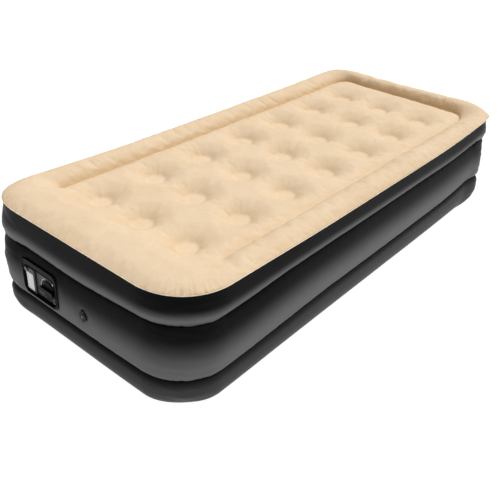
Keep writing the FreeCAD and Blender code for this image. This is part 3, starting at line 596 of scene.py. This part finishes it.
def make_band(name, node, profile, lifts, rows, window=None):
    """One closed band round the bed, its edges lifted as its two welds are."""
    bm = grid_sheet(ROUND_COLUMNS, rows)
    painted_sheen = bm.verts.layers.float.new("painted_sheen")
    top_level = profile(0)[1]
    foot_level = profile(1)[1]
    for vert in bm.verts:
        distance = vert.co.x * ROUND
        inset, level = profile(ease(1 - vert.co.y))
        point, out = walk(distance)
        share = (top_level - level) / (top_level - foot_level)
        lift = mix(lifts[0](point), lifts[1](point), share)
        corner = corner_share(point.x, point.y)
        if level > (UPPER_GROOVE + LOWER_GROOVE) / 2:
            inset -= max(0, inset - 0.006) * 0.55 * corner
        away_high = top_level - level
        away_low = level - foot_level
        uneven = slack(distance, level)
        if name == "foot_band":
            away_low = UNWELDED
            uneven *= smooth(0, 0.05, level)
        elif name == "shoulder_band":
            away_high = UNWELDED
            uneven *= smooth(0, 0.03, SEAM - level)
        dent = (gathers(distance, away_high, away_low, corner) + uneven) * meet(distance)
        # painted reflection: the paler share that stands in for the floor's reflection on the vinyl
        vert[painted_sheen] = painted_sheen_share(name, share)
        loose = 1 if window is None else 1 - near_panel(point, level)
        place = point - out * (mix(max(0.008, inset), inset, loose) + dent * loose)
        vert.co = settle(Vector((place.x, place.y, level + lift * loose)))
    bmesh.ops.remove_doubles(bm, verts=bm.verts, dist=SAME_PLACE)
    if window is not None:
        cut_window(bm, window)
    piece = finish_piece(name, bm)
    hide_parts(node)
    return piece


# ---------------------------------------------------------------- the openings in the middle band

panel_low, panel_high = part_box("pump_bezel")
mount_low, mount_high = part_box("pump_mount_ring")
valve_low, valve_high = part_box("valve_seat")
PANEL_SIDE = (panel_low.y + panel_high.y) / 2
PANEL_LEVEL = (panel_low.z + panel_high.z) / 2
PANEL_WIDTH = panel_high.y - panel_low.y
PANEL_HEIGHT = panel_high.z - panel_low.z
VALVE_SIDE = (valve_low.y + valve_high.y) / 2
VALVE_LEVEL = 0.202    # the middle of the bore, as the seat's box also holds its hinge lug
WINDOW_EDGE = 0.0015   # the mount ring covers the cut edge of the vinyl by this much
PUMP_END = -0.9        # faces beyond this belong to the pump end


def near_panel(point, level):
    """1 over the stiff pump panel and the valve, fading to 0 a little way outside them."""
    if point.x > -HALF_LENGTH + CORNER:
        return 0.0
    beside = abs(point.y - PANEL_SIDE) - PANEL_WIDTH / 2
    over = max(beside, abs(level - PANEL_LEVEL) - PANEL_HEIGHT / 2)
    valve = math.hypot(point.y - VALVE_SIDE, level - VALVE_LEVEL) - 0.018
    return 1 - smooth(0.0, 0.03, min(over, valve))


def cut_window(bm, window):
    """Cut the pump's window out of the band along its four sides."""
    low, high = window
    margin = 0.03
    here = []
    for face in bm.faces:
        centre = face.calc_center_median()
        if centre.x < PUMP_END and low.y - margin < centre.y < high.y + margin:
            here.append(face)
    for spot, normal in ((low, (0, -1, 0)), (high, (0, 1, 0)), (low, (0, 0, -1)), (high, (0, 0, 1))):
        here = [f for f in here if f.is_valid]
        edges = list({e for f in here for e in f.edges})
        verts = list({v for f in here for v in f.verts})
        made = bmesh.ops.bisect_plane(bm, geom=here + edges + verts, plane_co=spot, plane_no=normal)
        here = [g for g in made["geom"] if isinstance(g, bmesh.types.BMFace)]
    inside = []
    for face in bm.faces:
        centre = face.calc_center_median()
        if centre.x < PUMP_END and low.y < centre.y < high.y and low.z < centre.z < high.z:
            inside.append(face)
    bmesh.ops.delete(bm, geom=inside, context="FACES")


# ---------------------------------------------------------------- materials

class Wire:
    """A material socket that takes part in plain sums."""

    def __init__(self, finish, socket):
        self.finish = finish
        self.socket = socket

    def sum(self, operation, *values):
        return self.finish.add("ShaderNodeMath", {"operation": operation}, *values)

    def __add__(self, other):
        return self.sum("ADD", self, other)

    def __radd__(self, other):
        return self.sum("ADD", other, self)

    def __sub__(self, other):
        return self.sum("SUBTRACT", self, other)

    def __rsub__(self, other):
        return self.sum("SUBTRACT", other, self)

    def __mul__(self, other):
        return self.sum("MULTIPLY", self, other)

    def __rmul__(self, other):
        return self.sum("MULTIPLY", other, self)

    def step(self, low, high):
        """0 below low, 1 above high, smooth between."""
        settings = {"interpolation_type": "SMOOTHSTEP"}
        return self.finish.add("ShaderNodeMapRange", settings, self, low, high, 0.0, 1.0)


class Finish:
    """A procedural material built round one Principled shader."""

    def __init__(self, name, **settings):
        self.material = bpy.data.materials.new(name)
        self.material.use_nodes = True
        self.nodes = self.material.node_tree.nodes
        self.links = self.material.node_tree.links
        self.shader = self.nodes["Principled BSDF"]
        self.set(self.shader, settings)

    def set(self, node, values):
        """Set a node's sockets, by name or number, to values or wires."""
        for name, value in values.items():
            socket = node.inputs[name if isinstance(name, int) else name.replace("_", " ")]
            if isinstance(value, Wire):
                self.links.new(value.socket, socket)
            else:
                socket.default_value = value

    def add(self, kind, settings, *values, out=0, sockets=None, **named):
        """Add a node: its own settings first, then the values or wires of its sockets."""
        node = self.nodes.new(kind)
        for name, value in settings.items():
            setattr(node, name, value)
        self.set(node, dict(enumerate(values)))
        self.set(node, sockets or {})
        self.set(node, named)
        return Wire(self, node.outputs[out])

    def place(self):
        """Where a point of the surface is in the object's own space."""
        return self.add("ShaderNodeTexCoord", {}, out="Object")

    def speckle(self, scale, detail=3.0, roughness=0.55):
        """Noise over the object's own space, from 0 to 1."""
        return self.add("ShaderNodeTexNoise", {}, Vector=self.place(), Scale=scale, Detail=detail,
                        Roughness=roughness)

    def blend(self, share, first, second):
        """A colour between two colours."""
        sockets = {0: share, 6: first, 7: second}
        return self.add("ShaderNodeMix", {"data_type": "RGBA"}, out=2, sockets=sockets)

    def bump(self, height, strength, distance):
        """Raise the surface by a height between 0 and 1 times a distance."""
        normal = self.add("ShaderNodeBump", {}, Strength=strength, Distance=distance, Height=height)
        self.set(self.shader, {"Normal": normal})


def flocking(name, light, dark):
    """Short velvet flocking: a soft nap whose tone varies this way and that, with painted shade where its
    face tilts away from upright.
    """
    finish = Finish(name, Roughness=0.92, **{"Sheen Weight": 0.07, "Sheen Roughness": 0.4,
                                            "Specular IOR Level": 0.25})
    nap = finish.speckle(900, 2.0)
    drift = finish.speckle(26, 4.0, 0.6)
    patch = finish.speckle(4.5, 2.0)
    facing = finish.add("ShaderNodeSeparateXYZ", {}, out="Z", Vector=finish.add(
        "ShaderNodeNewGeometry", {}, out="Normal"))
    # painted shade: the flock's colour is darkened where its face tilts away from upright
    lean = 1 - facing.step(0.55, 1.0)
    tuft = finish.speckle(300, 3.0, 0.7)
    tone = 0.60 + (nap - 0.5) * 0.25 + (tuft - 0.5) * 0.9 + (drift - 0.5) * 0.35
    tone = tone + (patch - 0.5) * 0.3 - lean * 0.42
    finish.set(finish.shader, {"Base Color": finish.blend(tone.step(0.0, 1.0), dark, light)})
    threads = finish.add("ShaderNodeTexVoronoi", {}, out="Distance", Vector=finish.place(), Scale=520.0)
    finish.bump(nap * 0.6 + threads * 0.5 + drift * 0.8 + tuft * 0.8, 0.45, 0.0007)
    return finish.material


def vinyl(name, colour, worn, roughness, gloss=0.5, reads_painted_sheen=False):
    """Soft matt vinyl with a fine pebbled grain and slow changes of gloss."""
    finish = Finish(name, **{"Specular IOR Level": gloss})
    grain = finish.add("ShaderNodeTexVoronoi", {}, out="Distance", Vector=finish.place(), Scale=700.0)
    haze = finish.speckle(5.0, 4.0, 0.6)
    dust = finish.speckle(60.0, 4.0, 0.7)
    mark = (haze * 0.7 + dust * 0.3).step(0.35, 0.75)
    # With the bands' painted sheen read, the mix towards the second colour is a painted reflection of the
    # bright floor, not wear.
    if reads_painted_sheen:
        painted_sheen = finish.add("ShaderNodeAttribute", {"attribute_name": "painted_sheen"}, out="Fac")
        mark = painted_sheen * ((haze - 0.5) * 0.5 + (dust - 0.5) * 0.12 + 1)
    finish.set(finish.shader, {
        "Base Color": finish.blend(mark, colour, worn),
        "Roughness": (haze - 0.5) * 0.16 + (dust - 0.5) * 0.08 + roughness})
    finish.bump(grain + finish.speckle(160.0, 3.0) * 0.7, 0.22, 0.0005)
    return finish.material


def moulding(name, colour, worn, roughness, grain=0.18, gloss=0.45):
    """Moulded plastic with a spark-eroded grain and faint handling marks."""
    finish = Finish(name, **{"Specular IOR Level": gloss})
    fine = finish.speckle(1500.0, 2.0)
    wear = finish.speckle(45.0, 5.0, 0.65)
    finish.set(finish.shader, {
        "Base Color": finish.blend(wear.step(0.45, 0.8), colour, worn),
        "Roughness": (wear - 0.5) * 0.2 + (fine - 0.5) * 0.1 + roughness})
    finish.bump(fine, grain, 0.0003)
    return finish.material


def metal(name, colour, roughness):
    """Drawn or turned metal with faint lines and a little staining."""
    finish = Finish(name, Metallic=1.0)
    lines = finish.add("ShaderNodeTexWave", {"bands_direction": "X"}, out=1, Vector=finish.place(),
                       Scale=260.0, Distortion=1.2, Detail=2.0)
    stain = finish.speckle(70.0, 4.0)
    dull = tuple(c * 0.7 for c in colour[:3]) + (1,)
    finish.set(finish.shader, {
        "Base Color": finish.blend(stain.step(0.4, 0.8), colour, dull),
        "Roughness": (lines - 0.5) * 0.08 + (stain - 0.5) * 0.15 + roughness})
    finish.bump(lines, 0.05, 0.0002)
    return finish.material


def rgb(red, green, blue):
    """An opaque colour."""
    return (red, green, blue, 1.0)


def even(light, blue=0.0):
    """An opaque grey, a little bluer if wanted."""
    return rgb(light, light, light + blue)


BEIGE_FLOCK = flocking("beige_flocking", rgb(0.800, 0.640, 0.462), rgb(0.66, 0.462, 0.262))
# the black vinyl's second colour is a painted reflection of the floor, laid on from the bands' painted
# sheen
BLACK_VINYL = vinyl("black_vinyl", even(0.004, 0.0008), even(0.14, 0.002), 0.44, gloss=0.04, reads_painted_sheen=True)
BARE_VINYL = vinyl("bare_vinyl", even(0.22, 0.005), even(0.28, 0.005), 0.5)
SEAM_EDGE = vinyl("cut_edge", rgb(0.92, 0.80, 0.66), rgb(0.82, 0.68, 0.52), 0.6)
PANEL_PLASTIC = moulding("panel_moulding", even(0.030, 0.002), even(0.042, 0.003), 0.46)
KNOB_PLASTIC = moulding("knob_moulding", even(0.003, 0.0005), even(0.006, 0.001), 0.42, gloss=0.06)
BEZEL_PLASTIC = moulding("bezel_moulding", even(0.003, 0.0005), even(0.006, 0.0005), 0.42, gloss=0.05)
# Pale grey plastic: on the bezel's ridges, the dial's rim line and the valve cap's stud it is a painted
# highlight; the door tab takes it too.
PALE_HIGHLIGHT_PLASTIC = moulding("pale_highlight_moulding", even(0.085, 0.003), even(0.12), 0.40)
INNER_PLASTIC = moulding("inner_moulding", even(0.30, 0.01), even(0.36, 0.01), 0.5)
CAP_VINYL = moulding("cap_vinyl", even(0.004, 0.0005), even(0.009, 0.001), 0.40, gloss=0.08)
SOFT_RUBBER = moulding("soft_rubber", even(0.02), even(0.035), 0.7)
LABEL_FILM = moulding("label_film", even(0.80, -0.01), even(0.70, -0.02), 0.35, grain=0.05)
PRINT_WHITE = moulding("print_white", even(0.75), even(0.55), 0.55, grain=0.05)
STEEL = metal("plated_steel", even(0.60, 0.01), 0.33)
BRONZE = metal("sintered_bronze", rgb(0.62, 0.44, 0.24), 0.45)

NODE_FINISHES = {
    "inner_vinyl": BARE_VINYL, "panel_plastic": PANEL_PLASTIC, "knob_plastic": KNOB_PLASTIC,
    "inner_plastic": INNER_PLASTIC, "cap_vinyl": CAP_VINYL, "soft_rubber": SOFT_RUBBER,
    "label_paper": LABEL_FILM, "steel": STEEL, "bronze": BRONZE, "beige_flock": BEIGE_FLOCK,
    "black_vinyl": BLACK_VINYL,
}
for subpart in frame["record"]["subparts"]:
    node = frame["nodes"][subpart["node"]]
    node.data.materials.clear()
    node.data.materials.append(NODE_FINISHES[subpart["material_slot"]])

# ---------------------------------------------------------------- building the skin

top = make_top()
blow_up(top, top_held, pressure=2.4, slack=0.009, reach=0.004, frames=16)
refine_top(top)
thicken(top)
dressed(top, BEIGE_FLOCK)
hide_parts("top_sheet")

shoulder = make_band("shoulder_band", "upper_band", upper_profile, (seam_lift, upper_lift), 34)
window_inset = Vector((0, WINDOW_EDGE, WINDOW_EDGE))
window = (mount_low + window_inset, mount_high - window_inset)
waist = make_band("waist_band", "middle_band", middle_profile, (upper_lift, lower_lift), 44, window)
foot = make_band("foot_band", "lower_band", lower_profile, (lower_lift, level_foot), 34)
for piece in (shoulder, waist, foot):
    thicken(piece)
    dressed(piece, BLACK_VINYL)


def make_seam():
    """The pale cut edge where the top sheet is welded to the side."""
    bm = grid_sheet(ROUND_COLUMNS, 6)
    for vert in bm.verts:
        distance = vert.co.x * ROUND
        turn = vert.co.y * 2 * math.pi
        point, out = walk(distance)
        size = 0.0013 + 0.0003 * wave(distance * 70, 5.0) * meet(distance)
        place = point + out * (0.0004 + size * math.cos(turn))
        vert.co = settle(Vector((place.x, place.y, SEAM + seam_lift(place) + size * 0.8 * math.sin(turn))))
    bmesh.ops.remove_doubles(bm, verts=bm.verts, dist=SAME_PLACE)
    piece = finish_piece("seam_edge", bm)
    return dressed(piece, SEAM_EDGE)


make_seam()


def make_bottom():
    """The underside, nearly flat, with a welded strip a little raised on each side of the middle."""
    bm = grid_sheet(150, 64)
    foot_roll = 0.079
    reach_x = HALF_LENGTH - foot_roll
    reach_y = HALF_WIDTH - foot_roll
    for vert in bm.verts:
        p = (vert.co.x - 0.5) * 2 * HALF_LENGTH
        q = (vert.co.y - 0.5) * 2 * HALF_WIDTH
        inset = min(HALF_LENGTH - abs(p), HALF_WIDTH - abs(q))
        x, y = bend_corner(p, q, inset)
        x *= reach_x / HALF_LENGTH
        y *= reach_y / HALF_WIDTH
        weld = 0.0010 * math.exp(-((abs(y) - 0.1) / 0.006) ** 2)
        vert.co = Vector((x, y, 0.0004 + weld))
    piece = finish_piece("bottom_skin", bm)
    if piece.data.polygons[0].normal.z > 0:
        piece.data.flip_normals()
    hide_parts("bottom_sheet")
    dressed(thicken(piece), BLACK_VINYL)


make_bottom()

# ---------------------------------------------------------------- the pump panel and its small parts


def rounded_plate(low, high, radius, segments):
    """One flat face with rounded corners in the panel's plane, facing away from the bed."""
    bm = bmesh.new()
    bmesh.ops.create_grid(bm, x_segments=1, y_segments=1, size=0.5)
    bmesh.ops.scale(bm, verts=bm.verts, vec=(high.y - low.y, high.z - low.z, 1))
    upright = Matrix.Rotation(math.pi / 2, 3, "Z") @ Matrix.Rotation(math.pi / 2, 3, "X")
    bmesh.ops.rotate(bm, verts=bm.verts, matrix=upright)
    bmesh.ops.translate(bm, verts=bm.verts, vec=(low + high) / 2)
    bmesh.ops.recalc_face_normals(bm, faces=bm.faces)
    if bm.faces[:][0].normal.x > 0:
        bmesh.ops.reverse_faces(bm, faces=bm.faces)
    bmesh.ops.bevel(bm, geom=bm.verts, offset=radius, segments=segments, profile=0.5, affect="VERTICES",
                    material=-1)
    return bm


def step_in(bm, face, width, rise, painted_highlight=False):
    """Inset a face and raise it towards the room by a rise; a flagged step takes the second, paler finish,
    a painted highlight.
    """
    ring = bmesh.ops.inset_region(bm, faces=[face], thickness=width, depth=0, use_even_offset=True,
                                  use_boundary=True)["faces"]
    bmesh.ops.translate(bm, verts=face.verts, vec=(-rise, 0, 0))
    for side in ring:
        side.material_index = 1 if painted_highlight else 0


def make_bezel():
    """The stepped frame that clamps the pump panel to the middle band, with a hood over the panel.

    Each step is its width inwards, its rise towards the room, and whether it takes the paler finish, a
    painted highlight."""
    back = -0.9918
    hood_drop = 0.0200
    hood_slope = 0.0010
    valve_end_draw = 0.0060
    low = Vector((back, panel_low.y, panel_low.z))
    high = Vector((back, panel_high.y, panel_high.z))
    bm = rounded_plate(low, high, 0.026, 10)
    face = bm.faces[:][0]
    for width, rise, painted_highlight in ((0.0010, 0.0040, False), (0.0008, 0.0012, True), (0.0022, -0.0014, False)):
        step_in(bm, face, width, rise, painted_highlight)
    step_in(bm, face, 0.0004, 0.0)
    upper = [vert for vert in face.verts if vert.co.z > PANEL_LEVEL]
    valve_end = [vert for vert in face.verts if vert.co.y < PANEL_SIDE]
    bmesh.ops.translate(bm, verts=upper, vec=(hood_slope, 0, -hood_drop))
    bmesh.ops.translate(bm, verts=valve_end, vec=(0, valve_end_draw, 0))
    for width, rise, painted_highlight in ((0.0008, 0.0016, True), (0.0008, -0.0006, True), (0.0007, -0.0010, False)):
        step_in(bm, face, width, rise, painted_highlight)
    step_in(bm, face, 0.0006, -0.0086)
    bmesh.ops.delete(bm, geom=[face], context="FACES_ONLY")
    piece = finish_piece("bezel_frame", bm, smooth_faces=False)
    rounding = piece.modifiers.new("edges", "BEVEL")
    rounding.width = 0.0004
    rounding.segments = 2
    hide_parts("pump_bezel")
    dressed(piece, BEZEL_PLASTIC)
    piece.data.materials.append(PALE_HIGHLIGHT_PLASTIC)


make_bezel()


def make_mark(name, centre, radius, start, sweep, finish, width=0.0024):
    """A thin raised arc round a centre on the pump end, its start and sweep in degrees from upright."""
    bm = bmesh.new()
    corner = bmesh.ops.create_grid(bm, x_segments=1, y_segments=1, size=0.5)["verts"]
    bmesh.ops.scale(bm, verts=corner, vec=(width, 0.0004, 1))
    bmesh.ops.rotate(bm, verts=corner, matrix=Matrix.Rotation(math.pi / 2, 3, "Y"))
    bmesh.ops.rotate(bm, verts=corner, matrix=Matrix.Rotation(math.pi / 2, 3, "Z"))
    bmesh.ops.translate(bm, verts=corner, vec=centre + Vector((0, 0, radius)))
    bmesh.ops.rotate(bm, verts=corner, cent=centre, matrix=Matrix.Rotation(math.radians(start), 3, "X"))
    bmesh.ops.spin(bm, geom=bm.faces, cent=centre, axis=(1, 0, 0), angle=math.radians(sweep), steps=16,
                   use_duplicate=False)
    piece = finish_piece(name, bm)
    return dressed(piece, finish)


knob_low, knob_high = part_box("selector_knob")
print_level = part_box("face_plate")[0].x + 0.0061
dial = Vector((print_level, (knob_low.y + knob_high.y) / 2, (knob_low.z + knob_high.z) / 2))
mark_radius = 0.0392
make_mark("mark_left", dial, mark_radius, -98, 34, PRINT_WHITE)
make_mark("mark_upper", dial, mark_radius, -58, 38, PRINT_WHITE)
make_mark("mark_lower", dial, mark_radius, -156, 28, PRINT_WHITE)
# dial_line: a pale arc painted in for the highlight on the knob skirt's bevel
make_mark("dial_line", dial, 0.0352, 92, 82, PALE_HIGHLIGHT_PLASTIC, 0.0012)


def make_button(name, centre, radius, height, body, finish):
    """A round moulded button that stands out of the pump end, with a softened rim and a dished face."""
    bm = bmesh.new()
    face = bmesh.ops.create_circle(bm, cap_ends=True, segments=40, radius=radius)["verts"][0].link_faces[0]
    bmesh.ops.rotate(bm, verts=bm.verts, matrix=Matrix.Rotation(-math.pi / 2, 3, "Y"))
    bmesh.ops.translate(bm, verts=bm.verts, vec=centre)
    if face.normal.x > 0:
        bmesh.ops.reverse_faces(bm, faces=[face])
    step_in(bm, face, 0.0001, height * 0.7)
    step_in(bm, face, radius * 0.10, height * 0.3)
    step_in(bm, face, radius * 0.22, -height * 0.1)
    step_in(bm, face, radius * 0.3, -height * 0.15)
    piece = finish_piece(name, bm, body)
    return dressed(piece, finish)


door_low, door_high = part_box("cord_door")
cap_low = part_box("valve_cap")[0]
tab_from_corner = 0.0085
tab_middle = Vector((door_low.x + 0.0004, door_high.y - tab_from_corner, door_high.z - tab_from_corner))
stud_middle = Vector((cap_low.x + 0.0006, VALVE_SIDE, VALVE_LEVEL))
# the cap stud's pale grey is a painted highlight on the valve cap; the door tab takes the same pale plastic
make_button("door_tab", tab_middle, 0.0078, 0.0032, "cord_lid", PALE_HIGHLIGHT_PLASTIC)
make_button("cap_stud", stud_middle, 0.0055, 0.0022, "valve_lid", PALE_HIGHLIGHT_PLASTIC)


def make_spring():
    """The outlet valve's coil spring, made at rest; in the valve it shortens towards the seat as the disc
    lifts.
    """
    low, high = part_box("outlet_valve_spring")
    wire = 0.0005
    turns = 6
    centre = Vector(((low.x + high.x) / 2, (low.y + high.y) / 2, low.z + wire))
    bm = bmesh.new()
    ring = bmesh.ops.create_circle(bm, segments=8, radius=wire)["verts"]
    bmesh.ops.rotate(bm, verts=ring, matrix=Matrix.Rotation(math.pi / 2, 3, "X"))
    bmesh.ops.translate(bm, verts=ring, vec=centre + Vector(((high.x - low.x) / 2 - wire, 0, 0)))
    steps = turns * 20
    rise = (high.z - low.z - 2 * wire) / steps
    bmesh.ops.spin(bm, geom=bm.edges[:], cent=centre, axis=(0, 0, 1), dvec=(0, 0, rise),
                   angle=turns * 2 * math.pi, steps=steps, use_duplicate=False)
    ends = [edge for edge in bm.edges if edge.is_boundary]
    bmesh.ops.holes_fill(bm, edges=ends, sides=8)
    piece = finish_piece("valve_spring", bm)
    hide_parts("outlet_valve_spring")
    dressed(piece, STEEL)
    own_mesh(piece)


make_spring()

# ---------------------------------------------------------------- floor, light and camera

floor_mesh = bmesh.new()
bmesh.ops.create_grid(floor_mesh, x_segments=1, y_segments=1, size=40)
floor_data = bpy.data.meshes.new("studio_floor")
floor_mesh.to_mesh(floor_data)
floor_mesh.free()
floor = bpy.data.objects.new("studio_floor", floor_data)
bpy.context.scene.collection.objects.link(floor)
floor_finish = Finish("studio_white", Roughness=0.9, **{
    "Base Color": even(0.12), "Specular IOR Level": 0.1,
    "Emission Color": even(1), "Emission Strength": 0.98})
floor_data.materials.append(floor_finish.material)

# the studio is white to the camera, and dimmer to the object
SKY_ON_OBJECT = 0.25
SKY_TO_CAMERA = 1.0

world = bpy.data.worlds.new("studio")
world.use_nodes = True
sky_nodes = world.node_tree.nodes
sky = sky_nodes["Background"]
sky.inputs["Color"].default_value = even(1)
seen_by = sky_nodes.new("ShaderNodeLightPath")
brightness = sky_nodes.new("ShaderNodeMapRange")
brightness.inputs["To Min"].default_value = SKY_ON_OBJECT
brightness.inputs["To Max"].default_value = SKY_TO_CAMERA
world.node_tree.links.new(seen_by.outputs["Is Camera Ray"], brightness.inputs["Value"])
world.node_tree.links.new(brightness.outputs["Result"], sky.inputs["Strength"])
bpy.context.scene.world = world

# one large soft lamp, above and a little towards the foot end
SOFTBOX_STRENGTH = 3.1
SOFTBOX_SPREAD = math.radians(55)
SOFTBOX_FROM = Vector((1.55, -0.35, 3.6))

softbox = bpy.data.lights.new("softbox", "SUN")
softbox.energy = SOFTBOX_STRENGTH
softbox.angle = SOFTBOX_SPREAD
lamp = bpy.data.objects.new("softbox", softbox)
lamp.rotation_euler = SOFTBOX_FROM.to_track_quat("Z", "Y").to_euler()
bpy.context.scene.collection.objects.link(lamp)

CAMERA_PLACE = Vector((-1.92519, -1.36728, 1.48105))
CAMERA_AIM = Vector((0.66453, 0.51748, -0.53908))
CAMERA_ROLL = math.radians(3.918)

camera_data = bpy.data.cameras.new("camera")
camera_data.sensor_width = 36
camera_data.lens = 47.7173
camera = bpy.data.objects.new("camera", camera_data)
level_turn = CAMERA_AIM.to_track_quat("-Z", "Y").to_matrix().to_4x4()
roll = Matrix.Rotation(CAMERA_ROLL, 4, "Z")
camera.matrix_world = Matrix.Translation(CAMERA_PLACE) @ level_turn @ roll
bpy.context.scene.collection.objects.link(camera)
bpy.context.scene.camera = camera
bpy.context.scene.view_settings.view_transform = "Standard"
